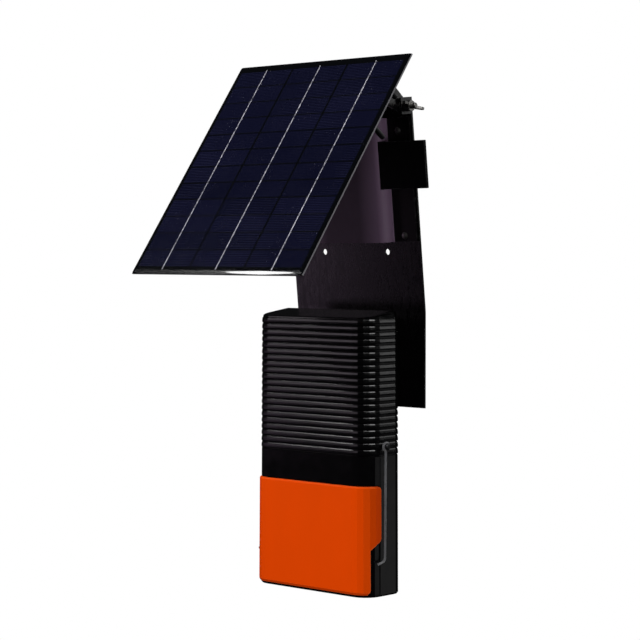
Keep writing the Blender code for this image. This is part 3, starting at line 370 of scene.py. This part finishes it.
SLOT_FINISHES = {
    "black_powder_coat": coated_steel("powder_coated_steel", (0.0014, 0.0011, 0.0014)),
    "black_plastic": moulded(
        "case_black", (0.0010, 0.0009, 0.0011), 0.19, grain=1500, depth=0.01 * MM),
    # The cover's paler rim colour is a painted highlight.
    "orange_plastic": moulded(
        "cover_orange", (0.76, 0.060, 0.0003), 0.42, grain=1200, variation=0.04,
        rim_highlight=(0.84, 0.16, 0.045), Specular_IOR_Level=0.3, Specular_Tint=(1.0, 0.35, 0.03, 1.0)),
    "zinc_plated_steel": metal("zinc_plate", (0.26, 0.255, 0.245), 0.34),
    "stainless_wire": metal(
        "wire", (0.22, 0.22, 0.23), 0.30, stretch=(1.0, 1.0, 0.2), variation=0.2, metallic=0.4),
    "solar_cells": BACKING,
    "panel_backing": BACKING,
    "aluminium": metal(
        "rail_aluminium", (0.42, 0.42, 0.43), 0.42, stretch=(1.0, 0.15, 0.15), variation=0.12),
    "black_rubber": moulded(
        "gasket_rubber", (0.016, 0.016, 0.016), 0.8, grain=700, depth=0.04 * MM),
    "battery_grey": moulded("battery_shell", (0.07, 0.07, 0.08), 0.55),
    "strap_black": moulded(
        "strap_nylon", (0.014, 0.014, 0.014), 0.6, grain=600, depth=0.05 * MM),
    "circuit_board_green": moulded(
        "board_green", (0.010, 0.105, 0.030), 0.35, grain=500, depth=0.03 * MM, variation=0.3),
    "ferrite": moulded(
        "ferrite_core", (0.028, 0.027, 0.027), 0.7, grain=400, depth=0.06 * MM),
    "coil_copper": copper_winding(),
    "capacitor_sleeve": moulded("capacitor_blue", (0.018, 0.045, 0.20), 0.3),
    "brass": metal("terminal_brass", (0.62, 0.42, 0.16), 0.28),
    "red_plastic": moulded("knob_red", (0.50, 0.010, 0.008), 0.35),
    "green_plastic": moulded("knob_green", (0.010, 0.21, 0.045), 0.35),
    "indicator_lens": moulded(
        "lens_red", (0.42, 0.012, 0.010), 0.12, grain=300, depth=0.01 * MM,
        Coat_Weight=0.6, Coat_Roughness=0.03),
}

# Nodes that look different from the rest of their slot.
OWN_FINISHES = {
    # The channel's web carries a painted sheen.
    "tilt_channel": coated_steel(
        "channel_painted_sheen_coat", (0.0010, 0.0008, 0.0010), 0.36, (PAINTED_SHEEN_HALF_WIDTH, PAINTED_SHEEN_VIOLET),
        Specular_IOR_Level=0.25),
    "cross_bar": coated_steel(
        "bar_matt_coat", (0.0008, 0.0007, 0.0008), 0.5, Specular_IOR_Level=0.12),
    "latch_stud_left": STUD,
    "latch_stud_right": STUD,
    "rail_bolt_1": STUD,
    "rail_bolt_2": STUD,
    "rail_bolt_3": STUD,
    "rail_bolt_4": STUD,
}


def dress_cad_nodes():
    """Gives every CAD node its own finish, or its slot's."""
    for entry in frame["record"]["subparts"]:
        finish = OWN_FINISHES.get(entry["node"]) or SLOT_FINISHES[entry["material_slot"]]
        mesh = NODES[entry["node"]].data
        mesh.materials.clear()
        mesh.materials.append(finish)
        mesh.shade_smooth()
        mesh.set_sharp_from_angle(angle=math.radians(CAD_SMOOTH_ANGLE))


# ---------------------------------------------------------------- shape helpers

def panel_piece(name, build, finish, smooth_angle):
    """A piece of the panel's face, whose mesh is filled by build(bmesh)."""
    mesh = bpy.data.meshes.new(name)
    shape = bmesh.new()
    build(shape)
    bmesh.ops.recalc_face_normals(shape, faces=shape.faces)
    shape.to_mesh(mesh)
    shape.free()
    mesh.materials.append(finish)
    mesh.shade_smooth()
    mesh.set_sharp_from_angle(angle=math.radians(smooth_angle))
    piece = bpy.data.objects.new(name, mesh)
    bpy.context.scene.collection.objects.link(piece)
    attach(piece, "solar_panel")
    return piece


def bevelled_block(shape, low, high, bevel, matrix):
    """Adds a box between two corners to a bmesh, with small flats along its edges."""
    made = bmesh.ops.create_cube(shape, size=1)["verts"]
    size = [abs(b - a) for a, b in zip(low, high)]
    middle = Vector([(a + b) / 2 for a, b in zip(low, high)])
    bmesh.ops.scale(shape, vec=size, verts=made)
    bmesh.ops.translate(shape, vec=middle, verts=made)
    edges = {edge for vert in made for edge in vert.link_edges}
    result = bmesh.ops.bevel(shape, geom=list(edges), offset=bevel, segments=1, profile=0.5,
                             affect="EDGES")
    made = {vert for face in result["faces"] for vert in face.verts} | {v for v in made if v.is_valid}
    bmesh.ops.transform(shape, matrix=matrix, verts=list(made))


def rounded_outline(half_x, half_y, radius, segments):
    points = []
    for sign_x, sign_y, start in ((1, 1, 0), (-1, 1, 90), (-1, -1, 180), (1, -1, 270)):
        for step in range(segments + 1):
            angle = math.radians(start + 90 * step / segments)
            points.append((sign_x * (half_x - radius) + radius * math.cos(angle),
                           sign_y * (half_y - radius) + radius * math.sin(angle)))
    return points


def stacked_plate(shape, layers, matrix, radius, segments):
    """A plate through (half x, half y, height) layers, from its underside to its top."""
    smallest_radius = 0.2 * MM
    rings = []
    for half_x, half_y, height in layers:
        corner = max(radius - (layers[0][0] - half_x), smallest_radius)
        outline = rounded_outline(half_x, half_y, corner, segments)
        rings.append([shape.verts.new(matrix @ Vector((x, y, height))) for x, y in outline])
    for lower, upper in zip(rings, rings[1:]):
        for index in range(len(lower)):
            after = (index + 1) % len(lower)
            shape.faces.new((lower[index], lower[after], upper[after], upper[index]))
    shape.faces.new(rings[0][::-1])
    shape.faces.new(rings[-1])


# ---------------------------------------------------------------- the panel's face

def make_laminate():
    """The whole sheet, with a soft shoulder all round where the resin runs out."""
    # Inset from the edge in mm, and height as a share of half the sheet's thickness.
    shoulder = ((0, -0.90), (0.3, -0.82), (1.5, -0.41), (3.0, 0.175), (4.6, 0.80), (5.2, 0.86))
    resin_drop = 0.02 * MM
    layers = [(PANEL_HALF_WIDTH, PANEL_HALF_LENGTH, -PANEL_HALF_THICKNESS)]
    for inset, rise in shoulder:
        layers.append((PANEL_HALF_WIDTH - inset * MM, PANEL_HALF_LENGTH - inset * MM,
                       rise * PANEL_HALF_THICKNESS - resin_drop))

    def build(shape):
        stacked_plate(shape, layers, PANEL_PLACE, PANEL_CORNER, segments=6)

    sheet = panel_piece("panel_laminate", build, laminate(), LAMINATE_SMOOTH_ANGLE)
    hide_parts("panel_cell_sheet")


def column_middle(column):
    return (column - (CELL_COLUMNS - 1) / 2) * CELL_PITCH_X


def row_middle(row):
    return (row - (CELL_ROWS - 1) / 2) * CELL_PITCH_Y


def make_cells():
    """One thin tile for each cell, just proud of the laminate."""
    half_x = (CELL_PITCH_X - CELL_COLUMN_GAP) / 2
    half_y = (CELL_PITCH_Y - CELL_GAP) / 2
    layers = [
        (half_x, half_y, CELL_BASE),
        (half_x, half_y, CELL_TOP - CELL_RIM),
        (half_x - CELL_RIM_INSET, half_y - CELL_RIM_INSET, CELL_TOP),
    ]

    def build(shape):
        for column in range(CELL_COLUMNS):
            for row in range(CELL_ROWS):
                shift = Matrix.Translation((column_middle(column), row_middle(row), 0))
                stacked_plate(shape, layers, PANEL_PLACE @ shift, CELL_CORNER, segments=2)

    panel_piece("solar_cell_tiles", build, silicon_cells(), CELL_SMOOTH_ANGLE)


def make_ribbons():
    """One ribbon down each column of cells, wider where it passes from cell to cell."""
    reach = CELL_PITCH_Y * CELL_ROWS / 2

    def strip(shape, x, half_width, low, high):
        bevelled_block(shape, (x - half_width, low, RIBBON_BASE), (x + half_width, high, RIBBON_TOP),
                       RIBBON_BEVEL, PANEL_PLACE)

    def build(shape):
        for column in range(CELL_COLUMNS):
            x = column_middle(column)
            strip(shape, x, RIBBON_WIDTH / 2, -reach - RIBBON_LOW_OVERHANG, reach + RIBBON_OVERHANG)
            for row in range(CELL_ROWS - 1):
                y = row_middle(row) + CELL_PITCH_Y / 2 - JOIN_DROP
                strip(shape, x, JOIN_HALF_WIDTH, y - JOIN_HALF_LENGTH, y + JOIN_HALF_LENGTH)

    panel_piece("busbar_ribbons", build, tinned_ribbon(), RIBBON_SMOOTH_ANGLE)


# ---------------------------------------------------------------- stage, lights, camera

def make_stage():
    """A pale floor that curves up into a backdrop, seen by the camera only."""
    width, height = 16, 12
    floor_level = -0.9
    corner_radius = 2.5
    mesh = bpy.data.meshes.new("studio_floor")
    shape = bmesh.new()
    bmesh.ops.create_cube(shape, size=1)
    bmesh.ops.scale(shape, vec=(width, width, height), verts=shape.verts)
    bmesh.ops.translate(shape, vec=(0, 0, height / 2 + floor_level), verts=shape.verts)
    bmesh.ops.bevel(shape, geom=list(shape.edges), offset=corner_radius, segments=8, profile=0.5,
                    affect="EDGES")
    bmesh.ops.reverse_faces(shape, faces=shape.faces)
    shape.to_mesh(mesh)
    shape.free()
    mesh.shade_smooth()
    floor = bpy.data.objects.new("studio_floor", mesh)
    bpy.context.scene.collection.objects.link(floor)
    material = bpy.data.materials.new("pale_floor")
    material.use_nodes = True
    tree = material.node_tree
    tree.nodes.clear()
    glow = tree.nodes.new("ShaderNodeEmission")
    glow.inputs["Color"].default_value = (1.0, 1.0, 1.0, 1)
    glow.inputs["Strength"].default_value = 1.0
    out = tree.nodes.new("ShaderNodeOutputMaterial")
    tree.links.new(glow.outputs[0], out.inputs["Surface"])
    mesh.materials.append(material)
    for kind in ("diffuse", "glossy", "transmission", "volume_scatter", "shadow"):
        setattr(floor, "visible_" + kind, False)


def soft_light(name, azimuth, elevation, width, height, radiance, colour=(1, 1, 1), role="both",
               distance=2.3):
    """A rectangular light that faces the object, placed and sized by angles in degrees.

    The azimuth turns from +X towards +Y. In the role "fill" it lights matt surfaces only,
    and in the role "sheen" it's seen only as a reflection.
    """
    target = Vector((0, -0.10, 0.03))
    turn, rise = math.radians(azimuth), math.radians(elevation)
    level = math.cos(rise)
    direction = Vector((level * math.cos(turn), level * math.sin(turn), math.sin(rise)))
    light = bpy.data.lights.new(name, "AREA")
    light.shape = "RECTANGLE"
    light.size = 2 * distance * math.tan(math.radians(width / 2))
    light.size_y = 2 * distance * math.tan(math.radians(height / 2))
    light.energy = radiance * light.size * light.size_y * math.pi
    light.color = colour
    lamp = bpy.data.objects.new(name, light)
    lamp.location = target + direction * distance
    lamp.rotation_euler = (-direction).to_track_quat("-Z", "Y").to_euler()
    lamp.visible_glossy = role != "fill"
    lamp.visible_diffuse = role != "sheen"
    bpy.context.scene.collection.objects.link(lamp)


def make_lights():
    """The boxes stand above and below the horizon, so that upright flat faces stay dark."""
    world = bpy.data.worlds.new("studio_air")
    world.use_nodes = True
    air = world.node_tree.nodes["Background"]
    air.inputs["Color"].default_value = (0.9, 0.92, 1.0, 1)
    air.inputs["Strength"].default_value = 0.012
    bpy.context.scene.world = world
    # Name, azimuth, elevation, width, height and radiance.
    soft_light("key_front", -113, 43, 28, 24, 16.5, role="fill")
    soft_light("fill_low_right", -35, -12, 50, 30, 2.7, role="fill")
    soft_light("under_panel", 80, -50, 70, 50, 1.5, role="fill")
    soft_light("box_front_left", -128, 19, 36, 20, 1.15, colour=(1.0, 0.88, 1.0))
    soft_light("box_corner", -8, 42, 34, 34, 6.0, role="sheen")
    soft_light("box_back_right", 58, 21, 34, 26, 1.2)
    soft_light("low_back_right", 47, -14, 50, 14, 0.22)
    soft_light("low_card_left", -146, -3, 15, 14, 0.85, colour=(0.97, 0.70, 1.0), distance=0.95)
    soft_light("border_glare", -146, 36, 3.2, 6, 16.0, role="sheen")


def make_camera():
    """A long lens to the object's right, almost level with it."""
    camera = bpy.data.cameras.new("photo_camera")
    camera.lens = 112.9
    camera.sensor_width = 36
    camera.clip_end = 100
    holder = bpy.data.objects.new("photo_camera", camera)
    holder.location = (1.4215, -1.5880, 0.1136)
    holder.rotation_euler = (math.radians(88.0), 0, math.radians(43.0))
    bpy.context.scene.collection.objects.link(holder)
    bpy.context.scene.camera = holder


dress_cad_nodes()
make_laminate()
make_cells()
make_ribbons()
make_stage()
make_lights()
make_camera()
bpy.context.scene.view_settings.view_transform = "Standard"
